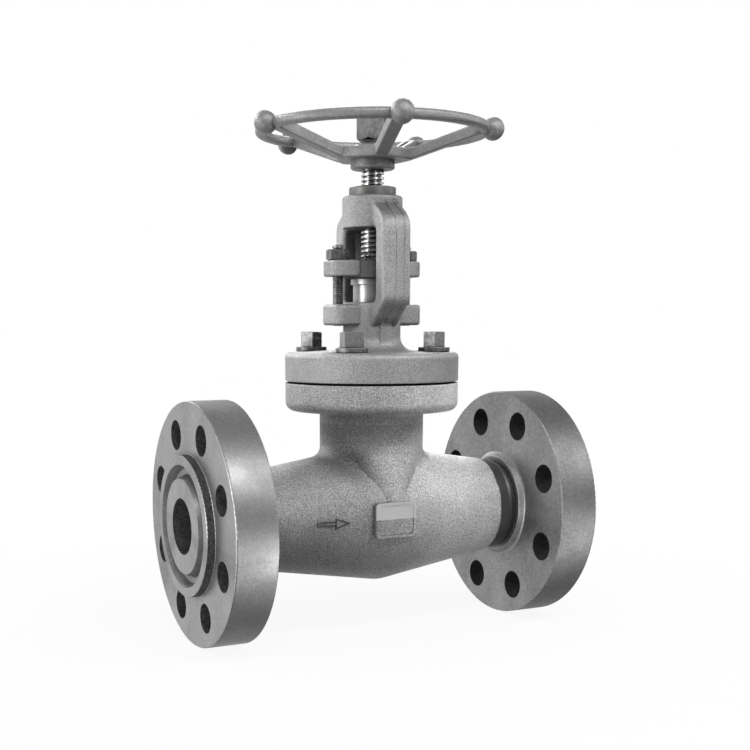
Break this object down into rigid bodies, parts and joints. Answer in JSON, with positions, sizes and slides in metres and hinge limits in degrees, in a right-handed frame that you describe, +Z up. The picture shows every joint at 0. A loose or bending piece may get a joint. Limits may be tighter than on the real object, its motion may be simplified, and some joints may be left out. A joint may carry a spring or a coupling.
{
  "type": "globe valve",
  "caption": "Flanged globe valve with a bolted round bonnet, outside screw and yoke, bolted gland and a dished spoked handwheel with ball grips.",
  "frame": {"origin": "centre of the inlet flange's sealing face, on the pipe axis", "axes": "+X along the pipe from inlet to outlet, +Z up along the stem, +Y across the valve away from the side with the name pad"},
  "size_m": [0.371, 0.2177, 0.456],
  "materials": {
    "forged_body": "blasted forging",
    "forged_bonnet": "blasted forging",
    "flange_steel": "turned, satin",
    "weld_metal": "dark weld bead",
    "gasket": "spiral wound, dark",
    "bolting": "dull",
    "trim_steel": "machined",
    "stem_steel": "polished",
    "packing": "graphite",
    "gland_casting": "blasted",
    "yoke_nut": "machined",
    "wheel_casting": "painted casting"
  },
  "bodies": {
    "valve": {"body": "forged_body", "seat_ring": "trim_steel", "inlet_flange": "flange_steel", "outlet_flange": "flange_steel", "inlet_weld": "weld_metal", "outlet_weld": "weld_metal", "bonnet": "forged_bonnet", "bonnet_gasket": "gasket", "bonnet_bolts": "bolting", "bonnet_washers": "bolting", "backseat_bush": "trim_steel", "packing_washer": "trim_steel", "packing_rings": "packing", "gland_studs": "bolting", "yoke_nut": "yoke_nut"},
    "closure": {"disc": "trim_steel", "disc_nut": "trim_steel"},
    "spindle": {"stem": "stem_steel", "handwheel": "wheel_casting", "handwheel_washer": "bolting", "handwheel_nut": "bolting"},
    "gland": {"gland_bush": "stem_steel", "gland_flange": "gland_casting"},
    "left_nut": {"gland_nut_left": "bolting"},
    "right_nut": {"gland_nut_right": "bolting"}
  },
  "joints": [
    {"name": "disc_lift", "type": "slide", "parent": "valve", "child": "closure", "axis": [0, 0, 1], "range_m": [0, 0.01601]},
    {"name": "handwheel_turn", "type": "hinge", "parent": "closure", "child": "spindle", "pos_m": [0.1855, 0, 0.3], "axis": [0, 0, 1], "range_deg": [0, 1440]},
    {"name": "gland_press", "type": "slide", "parent": "valve", "child": "gland", "axis": [0, 0, -1], "range_m": [0, 0.004], "deforming": ["packing_rings"]},
    {"name": "left_nut_turn", "type": "hinge", "parent": "gland", "child": "left_nut", "pos_m": [0.1515, 0, 0.23], "axis": [0, 0, -1], "range_deg": [0, 961]},
    {"name": "right_nut_turn", "type": "hinge", "parent": "gland", "child": "right_nut", "pos_m": [0.2195, 0, 0.23], "axis": [0, 0, -1], "range_deg": [0, 961]}
  ],
  "couplings": [
    {"joint": "disc_lift", "follows": "handwheel_turn", "m_per_rad": 0.00063662},
    {"joint": "left_nut_turn", "follows": "gland_press", "rad_per_m": 4188.8},
    {"joint": "right_nut_turn", "follows": "gland_press", "rad_per_m": 4188.8}
  ]
}
